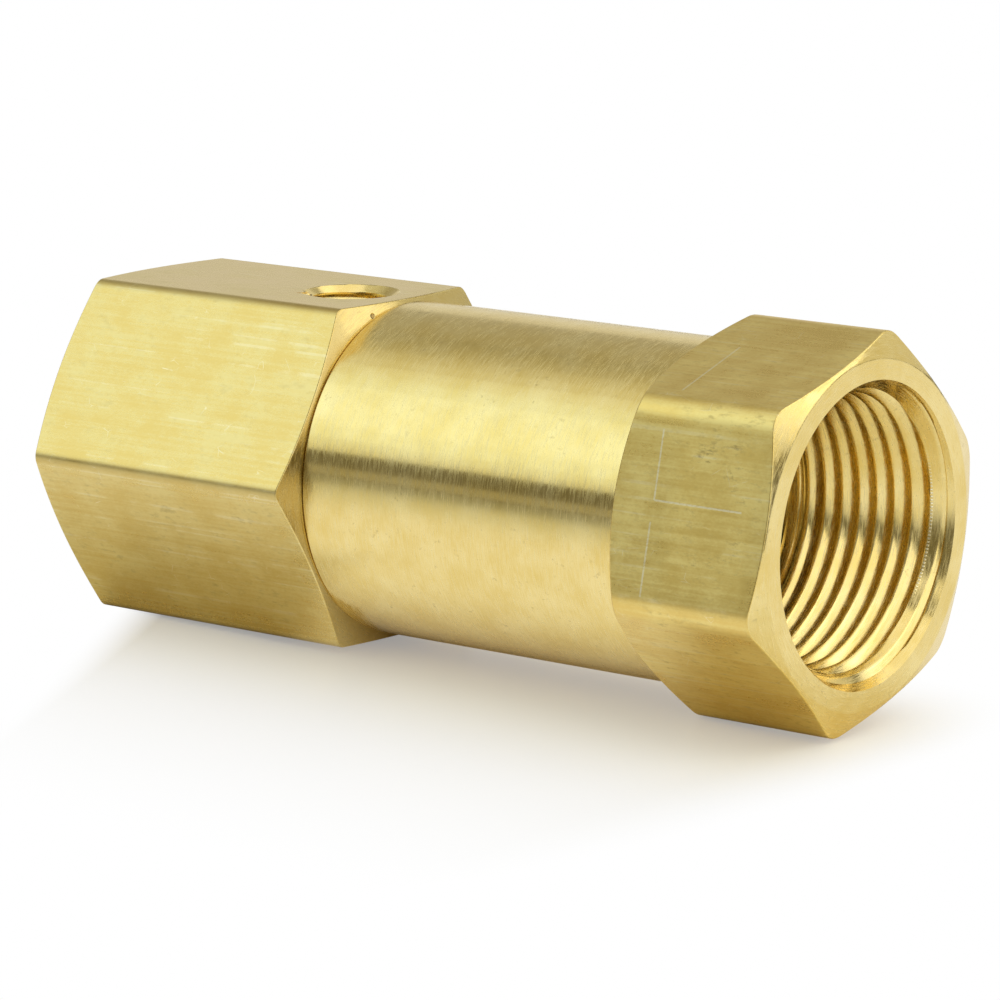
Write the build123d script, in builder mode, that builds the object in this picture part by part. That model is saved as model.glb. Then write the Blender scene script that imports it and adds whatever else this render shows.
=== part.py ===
from build123d import *
from math import asin, cos, degrees, radians, sin, tan
import os

# Inline non-return valve in brass, with a one inch pipe thread at both ends.
# All sizes are millimetres. The axis of the valve is X and the flow runs toward +X.
# The origin is the middle of the valve on its axis, and one flat of the inlet hexagon looks up.

# Bar stock and main lengths
hex_across_flats = 38.1
inlet_corner_radius = 1.2
outlet_corner_radius = 3.0
outlet_hex_turn = 17.2
inlet_hex_length = 38.3
barrel_length = 42.0
outlet_hex_length = 19.7
barrel_diameter = 37.4
barrel_edge_break = 0.2

# Turned chamfers of the two hexagons, as face circles and angles from the face
inlet_face_circle = 36.0
inlet_chamfer_angle = 20.0
seam_face_circle = 36.0
seam_chamfer_angle = 17.0
shoulder_chamfer_angle = 30.0
outlet_face_circle = 37.2
outlet_chamfer_angle = 20.0

# Pipe threads, bored to the crest of the female thread
pipe_bore_diameter = 29.7
pipe_thread_depth = 20.0
pipe_countersink_diameter = 32.8
pipe_countersink_angle = 28.0
drill_point_angle = 45.0
port_bore_diameter = 8.6
port_countersink_diameter = 12.3
port_from_inlet_face = 30.0

# Screwed joint between the two bodies, with its sealing ring
spigot_diameter = 33.0
spigot_length = 12.1
spigot_end_chamfer = 0.8
joint_clearance = 0.05
socket_end_gap = 1.0
ring_groove_offset = 1.4
ring_groove_width = 2.4
ring_section = 1.6
ring_clearance = 0.02

# Seat and flow path
flow_bore_diameter = 22.0
seat_lip_width = 1.3
seat_lip_height = 0.8
seat_lip_bevel = 0.4
chamber_diameter = 31.6
land_diameter = 28.0
land_width = 3.0

# Poppet with its soft seal
seal_diameter = 25.0
seal_thickness = 2.5
seal_hole_diameter = 6.0
seal_stand_out = 0.6
seal_clearance = 0.05
poppet_rim_width = 1.3
poppet_rim_bevel = 0.4
poppet_web = 3.0
boss_diameter = 12.0
boss_bevel = 0.8
stem_diameter = 5.0
stem_end_bevel = 0.6
lift = 6.0

# Clamp washer, lock washer and screw that hold the seal
clamp_washer_diameter = 15.0
clamp_washer_thickness = 1.2
clamp_washer_hole = 4.3
lock_washer_outer = 7.2
lock_washer_inner = 4.2
lock_washer_thickness = 0.9
lock_washer_split = 0.8
screw_head_diameter = 7.0
screw_head_height = 2.6
screw_head_bevel = 0.3
screw_socket_width = 3.0
screw_socket_depth = 1.5
screw_shank_diameter = 3.9
screw_shank_length = 9.0
screw_clearance = 0.05
screw_hole_spare = 1.0

# Spring
wire_diameter = 1.2
wire_sides = 6
spring_turns = 5.5
spring_bore_clearance = 0.6

# Guide with its bush
guide_clearance = 0.05
guide_plate_thickness = 3.0
guide_hub_diameter = 12.0
guide_hub_length = 5.0
guide_rim_width = 1.95
guide_hub_ring = 2.2
guide_arm_width = 4.4
guide_arm_count = 4
guide_window_round = 1.0
bush_diameter = 8.0
bush_flange_thickness = 1.0
bush_running_clearance = 0.05
bush_seat_clearance = 0.02
stem_overhang = 0.5

# Retaining ring that keeps the guide on its land
retainer_thickness = 1.2
retainer_groove_depth = 0.8
retainer_clearance = 0.1
retainer_width = 2.4
retainer_gap_angle = 44.0
retainer_lug_diameter = 3.2
retainer_lug_hole = 1.5

# Stations along the axis
overall_length = inlet_hex_length + barrel_length + outlet_hex_length
inlet_face_x = -overall_length / 2
outlet_face_x = overall_length / 2
port_x = inlet_face_x + port_from_inlet_face
seam_x = inlet_face_x + inlet_hex_length
shoulder_x = seam_x + barrel_length
spigot_end_x = seam_x + spigot_length
seat_x = spigot_end_x + seat_lip_height
socket_end_x = spigot_end_x + socket_end_gap
thread_end_x = outlet_face_x - pipe_thread_depth
guide_back_x = thread_end_x - land_width
guide_front_x = guide_back_x - guide_plate_thickness
hub_front_x = guide_front_x - guide_hub_length
bush_front_x = hub_front_x - bush_flange_thickness
seal_back_x = seat_x + seal_thickness
poppet_front_x = seat_x + seal_stand_out
poppet_back_x = seal_back_x + poppet_web
boss_end_x = bush_front_x - lift
stem_end_x = guide_back_x + stem_overhang
clamp_washer_x = seat_x - clamp_washer_thickness
lock_washer_x = clamp_washer_x - lock_washer_thickness
screw_head_x = lock_washer_x - screw_head_height
screw_end_x = lock_washer_x + screw_shank_length

# Radii that several pieces share
apothem = hex_across_flats / 2
beyond_corners = hex_across_flats * 0.7
barrel_radius = barrel_diameter / 2
pipe_bore_radius = pipe_bore_diameter / 2
pipe_countersink_radius = pipe_countersink_diameter / 2
flow_bore_radius = flow_bore_diameter / 2
land_radius = land_diameter / 2
spigot_radius = spigot_diameter / 2
socket_radius = spigot_radius + joint_clearance
chamber_radius = chamber_diameter / 2
ring_groove_radius = socket_radius - ring_section - 2 * ring_clearance
ring_groove_x = seam_x + ring_groove_offset
seal_radius = seal_diameter / 2
seal_recess_radius = seal_radius + seal_clearance
poppet_radius = seal_recess_radius + poppet_rim_width
stem_radius = stem_diameter / 2
bush_bore_radius = stem_radius + bush_running_clearance
guide_radius = chamber_radius - guide_clearance
guide_hub_radius = guide_hub_diameter / 2
boss_radius = boss_diameter / 2
spring_radius = max(guide_hub_radius, boss_radius) + spring_bore_clearance + wire_diameter / 2
shank_radius = screw_shank_diameter / 2
retainer_groove_radius = chamber_radius + retainer_groove_depth
retainer_radius = retainer_groove_radius - retainer_clearance
retainer_x = guide_front_x - retainer_thickness


def cone_run(outer_radius, inner_radius, angle):
    """Length along the axis of a cone that leans by angle from the face plane."""
    return (outer_radius - inner_radius) * tan(radians(angle))


def turned(points, mode=Mode.ADD):
    """Revolve a closed outline of (along the axis, radius) points about the valve's axis."""
    with BuildSketch(Plane.XZ) as outline:
        with BuildLine():
            Polyline(*points, close=True)
        make_face()
    revolve(outline.sketch, axis=Axis.X, mode=mode)


def pipe_mouth(face_x, inward):
    """Outline points of a tapped end, from its face to the end of the thread."""
    countersink_depth = (pipe_countersink_radius - pipe_bore_radius) / tan(radians(pipe_countersink_angle))
    return [
        (face_x, 0),
        (face_x, pipe_countersink_radius),
        (face_x + countersink_depth * inward, pipe_bore_radius),
        (face_x + pipe_thread_depth * inward, pipe_bore_radius),
    ]


# Inlet body: hexagon with the inlet thread, the side port, and the spigot with its seat
with BuildPart() as inlet_body:
    with BuildSketch(Plane.YZ.offset(inlet_face_x)):
        RegularPolygon(radius=apothem, side_count=6, major_radius=False)
        fillet(vertices(), inlet_corner_radius)
    extrude(amount=inlet_hex_length)
    inlet_face_radius = inlet_face_circle / 2
    seam_face_radius = seam_face_circle / 2
    inlet_cone = cone_run(beyond_corners, inlet_face_radius, inlet_chamfer_angle)
    seam_cone = cone_run(beyond_corners, seam_face_radius, seam_chamfer_angle)
    turned(
        [
            (inlet_face_x, 0),
            (inlet_face_x, inlet_face_radius),
            (inlet_face_x + inlet_cone, beyond_corners),
            (seam_x - seam_cone, beyond_corners),
            (seam_x, seam_face_radius),
            (seam_x, 0),
        ],
        mode=Mode.INTERSECT,
    )
    ring_groove_end_x = ring_groove_x + ring_groove_width
    lip_radius = flow_bore_radius + seat_lip_width
    turned(
        [
            (seam_x - spigot_length, flow_bore_radius),
            (seam_x - spigot_length, ring_groove_radius),
            (seam_x, ring_groove_radius),
            (seam_x, spigot_radius),
            (ring_groove_x, spigot_radius),
            (ring_groove_x, ring_groove_radius),
            (ring_groove_end_x, ring_groove_radius),
            (ring_groove_end_x, spigot_radius),
            (spigot_end_x - spigot_end_chamfer, spigot_radius),
            (spigot_end_x, spigot_radius - spigot_end_chamfer),
            (spigot_end_x, lip_radius),
            (seat_x - seat_lip_bevel, lip_radius),
            (seat_x, lip_radius - seat_lip_bevel),
            (seat_x, flow_bore_radius),
        ]
    )
    thread_run_out = cone_run(pipe_bore_radius, flow_bore_radius, drill_point_angle)
    flow_start_x = inlet_face_x + pipe_thread_depth + thread_run_out
    flow_bore = [(flow_start_x, flow_bore_radius), (seat_x, flow_bore_radius), (seat_x, 0)]
    turned(pipe_mouth(inlet_face_x, 1) + flow_bore, mode=Mode.SUBTRACT)
    with Locations((port_x, 0, apothem)):
        CounterSinkHole(port_bore_diameter / 2, port_countersink_diameter / 2, depth=apothem, counter_sink_angle=90)
inlet_body.part.label = "inlet_body"

# Outlet body: barrel and outlet hexagon turned from one bar
with BuildPart() as outlet_body:
    with BuildSketch(Plane.YZ.offset(shoulder_x)):
        RegularPolygon(radius=apothem, side_count=6, major_radius=False, rotation=outlet_hex_turn)
        fillet(vertices(), outlet_corner_radius)
    extrude(amount=outlet_hex_length)
    outlet_face_radius = outlet_face_circle / 2
    shoulder_cone = cone_run(beyond_corners, barrel_radius, shoulder_chamfer_angle)
    outlet_cone = cone_run(beyond_corners, outlet_face_radius, outlet_chamfer_angle)
    turned(
        [
            (shoulder_x, 0),
            (shoulder_x, barrel_radius),
            (shoulder_x + shoulder_cone, beyond_corners),
            (outlet_face_x - outlet_cone, beyond_corners),
            (outlet_face_x, outlet_face_radius),
            (outlet_face_x, 0),
        ],
        mode=Mode.INTERSECT,
    )
    turned(
        [
            (seam_x, 0),
            (seam_x, barrel_radius - barrel_edge_break),
            (seam_x + barrel_edge_break, barrel_radius),
            (thread_end_x + land_width, barrel_radius),
            (thread_end_x + land_width, 0),
        ]
    )
    chamber_start_x = socket_end_x + cone_run(socket_radius, chamber_radius, drill_point_angle)
    groove_start_x = retainer_x - retainer_clearance
    groove_end_x = guide_front_x + retainer_clearance
    land_end_x = thread_end_x - cone_run(pipe_bore_radius, land_radius, drill_point_angle)
    turned(
        [
            (seam_x, 0),
            (seam_x, socket_radius),
            (socket_end_x, socket_radius),
            (chamber_start_x, chamber_radius),
            (groove_start_x, chamber_radius),
            (groove_start_x, retainer_groove_radius),
            (groove_end_x, retainer_groove_radius),
            (groove_end_x, chamber_radius),
            (guide_back_x, chamber_radius),
            (guide_back_x, land_radius),
            (land_end_x, land_radius),
        ]
        + pipe_mouth(outlet_face_x, -1)[::-1],
        mode=Mode.SUBTRACT,
    )
outlet_body.part.label = "outlet_body"

# Sealing ring in the groove at the root of the spigot, flattened where the joint squeezes it
with BuildPart() as body_seal_ring:
    with BuildSketch(Plane.XZ):
        with Locations((ring_groove_x + ring_groove_width / 2, socket_radius - ring_clearance - ring_section / 2)):
            RegularPolygon(radius=ring_section / 2, side_count=8, major_radius=False, rotation=22.5)
    revolve(axis=Axis.X)
body_seal_ring.part.label = "body_seal_ring"

# Poppet: dished head for the seal, a boss that centres the spring, and the guide stem
with BuildPart() as poppet:
    screw_hole_radius = shank_radius + screw_clearance
    screw_hole_end_x = screw_end_x + screw_hole_spare
    turned(
        [
            (seal_back_x, screw_hole_radius),
            (seal_back_x, seal_recess_radius),
            (poppet_front_x, seal_recess_radius),
            (poppet_front_x, poppet_radius - poppet_rim_bevel),
            (poppet_front_x + poppet_rim_bevel, poppet_radius),
            (poppet_back_x - poppet_rim_bevel, poppet_radius),
            (poppet_back_x, poppet_radius - poppet_rim_bevel),
            (poppet_back_x, boss_radius),
            (boss_end_x - boss_bevel, boss_radius),
            (boss_end_x, boss_radius - boss_bevel),
            (boss_end_x, stem_radius),
            (stem_end_x - stem_end_bevel, stem_radius),
            (stem_end_x, stem_radius - stem_end_bevel),
            (stem_end_x, 0),
            (screw_hole_end_x + screw_hole_radius, 0),
            (screw_hole_end_x, screw_hole_radius),
        ]
    )
poppet.part.label = "poppet"

# Soft seal, a flat ring that lies in the poppet's dish
with BuildPart() as seat_seal:
    with BuildSketch(Plane.YZ.offset(seat_x)):
        Circle(seal_radius)
        Circle(seal_hole_diameter / 2, mode=Mode.SUBTRACT)
    extrude(amount=seal_thickness)
seat_seal.part.label = "seat_seal"

# Clamp washer over the seal
with BuildPart() as clamp_washer:
    with BuildSketch(Plane.YZ.offset(clamp_washer_x)):
        Circle(clamp_washer_diameter / 2)
        Circle(clamp_washer_hole / 2, mode=Mode.SUBTRACT)
    extrude(amount=clamp_washer_thickness)
clamp_washer.part.label = "clamp_washer"

# Split lock washer under the screw's head
with BuildPart() as lock_washer:
    with BuildSketch(Plane.YZ.offset(lock_washer_x)):
        Circle(lock_washer_outer / 2)
        Circle(lock_washer_inner / 2, mode=Mode.SUBTRACT)
        with Locations((0, lock_washer_outer / 2)):
            Rectangle(lock_washer_split, lock_washer_outer, mode=Mode.SUBTRACT)
    extrude(amount=lock_washer_thickness)
lock_washer.part.label = "lock_washer"

# Socket screw that holds the seal on the poppet
with BuildPart() as seal_screw:
    head_radius = screw_head_diameter / 2
    turned(
        [
            (screw_head_x, 0),
            (screw_head_x, head_radius - screw_head_bevel),
            (screw_head_x + screw_head_bevel, head_radius),
            (lock_washer_x, head_radius),
            (lock_washer_x, shank_radius),
            (screw_end_x - screw_head_bevel, shank_radius),
            (screw_end_x, shank_radius - screw_head_bevel),
            (screw_end_x, 0),
        ]
    )
    with BuildSketch(Plane.YZ.offset(screw_head_x)):
        RegularPolygon(radius=screw_socket_width / 2, side_count=6, major_radius=False)
    extrude(amount=screw_socket_depth, mode=Mode.SUBTRACT)
seal_screw.part.label = "seal_screw"

# Return spring with ground ends, between the poppet's head and the guide.
# The round wire is drawn with six sides, which keeps the long coil light.
with BuildPart() as return_spring:
    spring_start_x = poppet_back_x
    spring_end_x = guide_front_x
    coil_height = spring_end_x - spring_start_x + 2 * wire_diameter
    with BuildLine():
        coil = Helix(
            pitch=coil_height / spring_turns,
            height=coil_height,
            radius=spring_radius,
            center=(spring_start_x - wire_diameter, 0, 0),
            direction=(1, 0, 0),
        )
    with BuildSketch(Plane(origin=coil @ 0, z_dir=coil % 0)):
        RegularPolygon(radius=wire_diameter / 2, side_count=wire_sides)
    sweep(path=coil, is_frenet=True)
    split(bisect_by=Plane.YZ.offset(spring_start_x), keep=Keep.TOP)
    split(bisect_by=Plane.YZ.offset(spring_end_x), keep=Keep.BOTTOM)
return_spring.part.label = "return_spring"

# Guide: a spoked plate on the land of the chamber, with a hub for the bush
with BuildPart() as guide:
    window_inner = guide_hub_radius + guide_hub_ring
    window_outer = guide_radius - guide_rim_width
    with BuildSketch(Plane.YZ.offset(guide_front_x)):
        Circle(guide_radius)
        with BuildSketch(mode=Mode.PRIVATE) as spokes:
            with PolarLocations(0, guide_arm_count // 2, angular_range=180):
                Rectangle(2 * guide_radius, guide_arm_width)
        with BuildSketch(mode=Mode.SUBTRACT):
            Circle(window_outer)
            Circle(window_inner, mode=Mode.SUBTRACT)
            add(spokes.sketch, mode=Mode.SUBTRACT)
            fillet(vertices(), guide_window_round)
    extrude(amount=guide_plate_thickness)
    with BuildSketch(Plane.YZ.offset(hub_front_x)):
        Circle(guide_hub_radius)
    extrude(amount=guide_hub_length)
    with BuildSketch(Plane.YZ.offset(hub_front_x)):
        Circle(bush_diameter / 2 + bush_seat_clearance)
    extrude(amount=guide_hub_length + guide_plate_thickness, mode=Mode.SUBTRACT)
guide.part.label = "guide"

# Flanged bush in the hub, which carries the stem and stops the poppet at full lift
with BuildPart() as guide_bush:
    turned(
        [
            (bush_front_x, bush_bore_radius),
            (bush_front_x, guide_hub_radius),
            (hub_front_x, guide_hub_radius),
            (hub_front_x, bush_diameter / 2),
            (guide_back_x, bush_diameter / 2),
            (guide_back_x, bush_bore_radius),
        ]
    )
guide_bush.part.label = "guide_bush"

# Retaining ring in its groove, with a gap and two eyes for the pliers
with BuildPart() as retaining_ring:
    retainer_inner = retainer_radius - retainer_width
    eye_radius = retainer_lug_diameter / 2
    eye_angle = retainer_gap_angle / 2 + degrees(asin(eye_radius / retainer_inner))
    gap_reach = retainer_radius / cos(radians(retainer_gap_angle / 2))
    gap_half_width = gap_reach * sin(radians(retainer_gap_angle / 2))
    with BuildSketch(Plane.YZ.offset(retainer_x)):
        Circle(retainer_radius)
        Circle(retainer_inner, mode=Mode.SUBTRACT)
        with BuildLine():
            Polyline((0, 0), (-gap_half_width, retainer_radius), (gap_half_width, retainer_radius), close=True)
        make_face(mode=Mode.SUBTRACT)
        with PolarLocations(retainer_inner, 2, start_angle=90 - eye_angle, angular_range=4 * eye_angle):
            Circle(eye_radius)
            Circle(retainer_lug_hole / 2, mode=Mode.SUBTRACT)
    extrude(amount=retainer_thickness)
retaining_ring.part.label = "retaining_ring"

os.makedirs("parts", exist_ok=True)
export_step(inlet_body.part, "parts/inlet_body.step")
export_step(outlet_body.part, "parts/outlet_body.step")
export_step(body_seal_ring.part, "parts/body_seal_ring.step")
export_step(poppet.part, "parts/poppet.step")
export_step(seat_seal.part, "parts/seat_seal.step")
export_step(clamp_washer.part, "parts/clamp_washer.step")
export_step(lock_washer.part, "parts/lock_washer.step")
export_step(seal_screw.part, "parts/seal_screw.step")
export_step(return_spring.part, "parts/return_spring.step")
export_step(guide.part, "parts/guide.step")
export_step(guide_bush.part, "parts/guide_bush.step")
export_step(retaining_ring.part, "parts/retaining_ring.step")
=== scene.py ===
# %% [markdown]
# # A brass non-return valve, dressed for the camera
# The solids of the valve come ready made and stay where they are. Blender's part is the look:
# the bar stock's drawn flats, the lathe's fine rings, the cut pipe threads and the studio.
# The first cell loads the solids, with a helper that reads the box that one of them fills.
# Nothing that is added here may grow out of it.

# %% Load the solids
import math

import bmesh
import bpy
import numpy as np
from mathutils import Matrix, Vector


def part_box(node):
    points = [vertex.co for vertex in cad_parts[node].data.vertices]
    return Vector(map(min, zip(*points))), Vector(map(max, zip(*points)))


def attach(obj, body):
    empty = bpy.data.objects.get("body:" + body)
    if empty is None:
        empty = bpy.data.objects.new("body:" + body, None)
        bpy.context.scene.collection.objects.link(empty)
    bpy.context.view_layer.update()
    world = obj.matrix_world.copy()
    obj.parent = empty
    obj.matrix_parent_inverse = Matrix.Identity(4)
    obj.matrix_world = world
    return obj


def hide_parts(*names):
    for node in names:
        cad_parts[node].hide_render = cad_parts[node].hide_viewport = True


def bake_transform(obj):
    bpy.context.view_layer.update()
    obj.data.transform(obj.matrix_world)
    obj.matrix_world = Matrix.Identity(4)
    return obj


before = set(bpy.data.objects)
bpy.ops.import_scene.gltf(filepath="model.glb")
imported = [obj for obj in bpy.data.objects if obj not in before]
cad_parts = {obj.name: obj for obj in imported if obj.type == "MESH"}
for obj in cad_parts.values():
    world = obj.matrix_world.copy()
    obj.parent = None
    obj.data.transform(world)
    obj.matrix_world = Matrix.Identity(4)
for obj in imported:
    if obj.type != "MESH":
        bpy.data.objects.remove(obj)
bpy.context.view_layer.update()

# %% [markdown]
# ## The camera
# A product picture like this is taken with a long lens from about half a metre, so the far
# end looks nearly as large as the near one. The camera looks down by eleven degrees from the
# outlet's side. An aim point is easier to read than three angles, so the camera is pointed at
# a spot near the middle of the valve with to_track_quat.

# %% Camera
camera_spot = Vector((0.3198, -0.4079, 0.1002))
camera_aim = Vector((0.00096, 0.00019, -0.00224))
camera_roll = math.radians(0.115)
camera_data = bpy.data.cameras.new("long_lens")
camera_data.lens = 172.03
camera_data.sensor_width = 36
camera = bpy.data.objects.new("long_lens", camera_data)
bpy.context.scene.collection.objects.link(camera)
camera.location = camera_spot
camera.rotation_euler = (camera_aim - camera_spot).to_track_quat("-Z", "Y").to_euler()
camera.rotation_euler.rotate_axis("Z", camera_roll)
bpy.context.scene.camera = camera
bpy.context.scene.view_settings.view_transform = "Standard"
print("camera stands off by", round((camera_aim - camera_spot).length, 4), "m")

# %% [markdown]
# ## Sizes of the two bodies
# The lengths and the places of the faces are read from the solids, so that the dressed
# bodies end exactly where the solid ones do. The rest are the turner's sizes in millimetres:
# chamfers, corner roundings and the bores. Meshes are built in millimetres, because that is
# how a turner thinks, and are turned into metres in one place.

# %% Sizes
MM = 0.001
inlet_low, inlet_high = (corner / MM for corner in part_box("inlet_body"))
outlet_low, outlet_high = (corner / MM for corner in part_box("outlet_body"))
inlet_face = inlet_low.x
seat = inlet_high.x
seam = outlet_low.x
outlet_face = outlet_high.x
apothem = inlet_high.z
shoulder = 30.3
barrel_radius = 18.7
edge_break = 0.12
chamber_radius = 15.8
land_radius = 14.0
flow_radius = 11.0
socket_radius = 16.55
guide_thickness = 3.0
guide_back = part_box("guide")[1].x / MM
guide_front = guide_back - guide_thickness
socket_end = 1.4
print("faces at", inlet_face, seam, outlet_face, "half across flats", apothem)

# %% [markdown]
# ## Columns around the axis
# Both bodies are a bar that a lathe has worked on: a hexagon where the bar is left as it was,
# and rings where it was turned. A boolean of a prism and a cone gives such a shape, but its
# edges come out as long thin slivers that shade badly. Here each body is a row of columns
# instead, one for each angle around the axis. A column is the outline that a saw cut through
# the axis would show, and its points sit exactly where the cone meets the flat, so the curved
# edge of the chamfer comes out clean and can be given a small rounding.

# %% The bar's surface
def bar_radius(angle, flat_angle, corner_radius):
    """How far the hexagon's surface is from the axis, with its corners rounded."""
    off_flat = (angle - flat_angle + math.pi / 6) % (math.pi / 3) - math.pi / 6
    half_flat = (apothem - corner_radius) * math.tan(math.pi / 6)
    if apothem * math.tan(abs(off_flat)) <= half_flat:
        return apothem / math.cos(off_flat)
    off_corner = math.pi / 6 - abs(off_flat)
    centre = (apothem - corner_radius) / math.cos(math.pi / 6)
    sideways = centre * math.sin(off_corner)
    return centre * math.cos(off_corner) + math.sqrt(corner_radius**2 - sideways**2)


def column_angles(flat_angle, corner_radius, around=144, in_corner=8):
    """Even steps around the axis, with more of them where a corner is rounded."""
    half_flat = (apothem - corner_radius) * math.tan(math.pi / 6)
    corner_span = math.pi / 6 - math.atan(half_flat / apothem)
    even = np.arange(around) * 2 * math.pi / around
    corners = flat_angle + math.pi / 6 + np.arange(6) * math.pi / 3
    off_corner = (even[:, None] - corners[None, :] + math.pi) % (2 * math.pi) - math.pi
    nearest = np.abs(off_corner).min(axis=1)
    fan = np.linspace(-corner_span, corner_span, in_corner + 1)
    rounded = (corners[:, None] + fan[None, :]).ravel() % (2 * math.pi)
    clear_of_corners = even[nearest > corner_span * 1.02 + 0.004]
    return np.sort(np.concatenate([clear_of_corners, rounded]))


print("with corners of 1 mm the bar is", round(2 * bar_radius(math.pi / 6, 0, 1), 3), "mm across them")

# %% [markdown]
# ## From columns to a mesh
# Neighbouring columns have the same number of points, so quads between them close the skin.
# A body is made of more than one such grid, its outside and its tapped mouth. Their rims have
# the same points, so merging what lies closer than two microns sews the grids together, and
# counting the open edges shows whether it did.

# %% Mesh helpers
merge_distance = 0.002


def placed(x, radius, angle):
    """A point of a column in space. The angle runs from +Y toward +Z."""
    return (x, radius * math.cos(angle), radius * math.sin(angle))


def joined_columns(columns, wrap):
    """Quads between neighbouring columns, as faces of point numbers."""
    rows = len(columns[0])
    count = len(columns)
    faces = []
    for i in range(count if wrap else count - 1):
        a, b = i * rows, (i + 1) % count * rows
        faces += [(a + j, a + j + 1, b + j + 1, b + j) for j in range(rows - 1)]
    return [point for column in columns for point in column], faces


def make_piece(name, grids, finishes):
    """One closed mesh from several grids of (points, faces, finish of each face)."""
    work = bmesh.new()
    for points, faces, kinds in grids:
        verts = [work.verts.new(Vector(p) * MM) for p in points]
        for face, kind in zip(faces, kinds):
            made = work.faces.new([verts[k] for k in face])
            made.material_index = kind
            made.smooth = True
    bmesh.ops.remove_doubles(work, verts=work.verts, dist=merge_distance * MM)
    bmesh.ops.recalc_face_normals(work, faces=work.faces)
    mesh = bpy.data.meshes.new(name)
    work.to_mesh(mesh)
    open_edges = sum(1 for e in work.edges if len(e.link_faces) != 2)
    work.free()
    for finish in finishes:
        mesh.materials.append(finish)
    piece = bpy.data.objects.new(name, mesh)
    bpy.context.scene.collection.objects.link(piece)
    print(name, len(mesh.polygons), "faces,", open_edges, "edges not shared by two")
    return piece


# %% [markdown]
# ## First finishes
# The three brass finishes are made empty here and get their nodes further down, because the
# meshes only need to know which of their faces take which finish.

# %% Empty finishes
DRAWN, TURNED, TAPPED = 0, 1, 2


def empty_finishes(body):
    """The three brass finishes of a body, in the order of DRAWN, TURNED and TAPPED."""
    return [bpy.data.materials.new(body + kind) for kind in ("_drawn_flats", "_turned", "_tapped")]


inlet_finishes = empty_finishes("inlet")
outlet_finishes = empty_finishes("outlet")
print("finishes", [finish.name for finish in inlet_finishes + outlet_finishes])

# %% [markdown]
# ## Pipe threads
# A taper pipe thread is a V groove that climbs one pitch in a turn while the whole cone
# narrows. A screw modifier can make one, but it won't end cleanly on a face or fade into a
# countersink. The columns can: each one is shifted along by its share of the pitch, so the
# mesh lines follow the crest, and at every point the larger of the two cuts wins, the thread
# or the countersink. Points beyond the end are pulled onto it and merge there. The flank that
# looks out of the mouth is longer and slightly bowed, which gives the soft shading of a
# thread that a worn tap has cut.

# %% Thread helpers
side_taper = 1 / 32
long_flank = 0.62
short_flank = 0.38
crest_flat = 0.03
flank_bow = 1.35


def groove_share(outward):
    """How deep the groove is, from 0 on the crest to 1 in the root.
    outward is the way from the crest toward the face, in turns."""
    off = (outward + short_flank) % 1 - short_flank
    flank = long_flank if off > 0 else short_flank
    climb = max(abs(off) / flank - crest_flat, 0) / (1 - crest_flat)
    return climb**flank_bow if off > 0 else climb


def cut_radius(depth, outward, pitch, crest, height, countersink, slope, run_out):
    """Radius of a tapped mouth at a depth below its face.
    The groove fades out over the last pitch before run_out."""
    fade = min(max(run_out - depth, 0) / pitch, 1)
    threaded = crest - depth * side_taper + height * groove_share(outward) * fade
    return max(threaded, countersink - slope * depth)


print("halfway down the groove's long flank:", round(groove_share(long_flank / 2), 3))

# %% [markdown]
# ### The thread of the two mouths
# Both mouths have the same one inch thread with eleven and a half crests to the inch. Only
# the place of the first crest differs, because the two threads were cut in separate bars, so
# one function makes both.

# %% Pipe thread
pipe_pitch = 2.209
pipe_crest = 14.85
pipe_groove = 1.36
pipe_depth = 20.0
pipe_run_out = pipe_depth - 1
pipe_countersink = 16.4
pipe_countersink_slope = math.tan(math.radians(28))


def pipe_cut(x, angle, face, inward, crest_at):
    """Radius of a pipe thread's wall at x, for the mouth at face."""
    from_crest = (x - crest_at) / pipe_pitch - angle / (2 * math.pi)
    return cut_radius(
        (x - face) * inward, -inward * from_crest, pipe_pitch, pipe_crest, pipe_groove,
        pipe_countersink, pipe_countersink_slope, pipe_run_out,
    )


def pipe_thread(angles, face, inward, crest_at, steps=16):
    """Grid of a tapped mouth. Its lines climb with the thread, and its ends are pulled flat."""
    low, high = sorted((face, face + inward * pipe_depth))
    turns = np.append(angles, angles[0] + 2 * math.pi)
    first = math.floor((low - crest_at) / pipe_pitch - 2) * steps
    last = math.ceil((high - crest_at) / pipe_pitch + 1) * steps
    columns = []
    for angle in turns:
        climb = crest_at + pipe_pitch * angle / (2 * math.pi)
        column = []
        for k in range(first, last + 1):
            x = min(max(climb + k * pipe_pitch / steps, low), high)
            column.append(placed(x, pipe_cut(x, angle, face, inward, crest_at), angle))
        columns.append(column)
    points, faces = joined_columns(columns, wrap=False)
    return points, faces, [TAPPED] * len(faces)


print("pipe thread with", round(pipe_depth / pipe_pitch, 1), "turns in each mouth")

# %% [markdown]
# ## The inlet body
# One length of hexagon bar. The lathe has chamfered both ends, cut the pipe thread, and left
# a spigot with a groove for the seal ring and a seat lip that reaches into the outlet body.
# The outline starts at the thread's rim, runs around the outside, over the spigot and the lip,
# and comes back through the bore to the thread's end.

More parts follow.
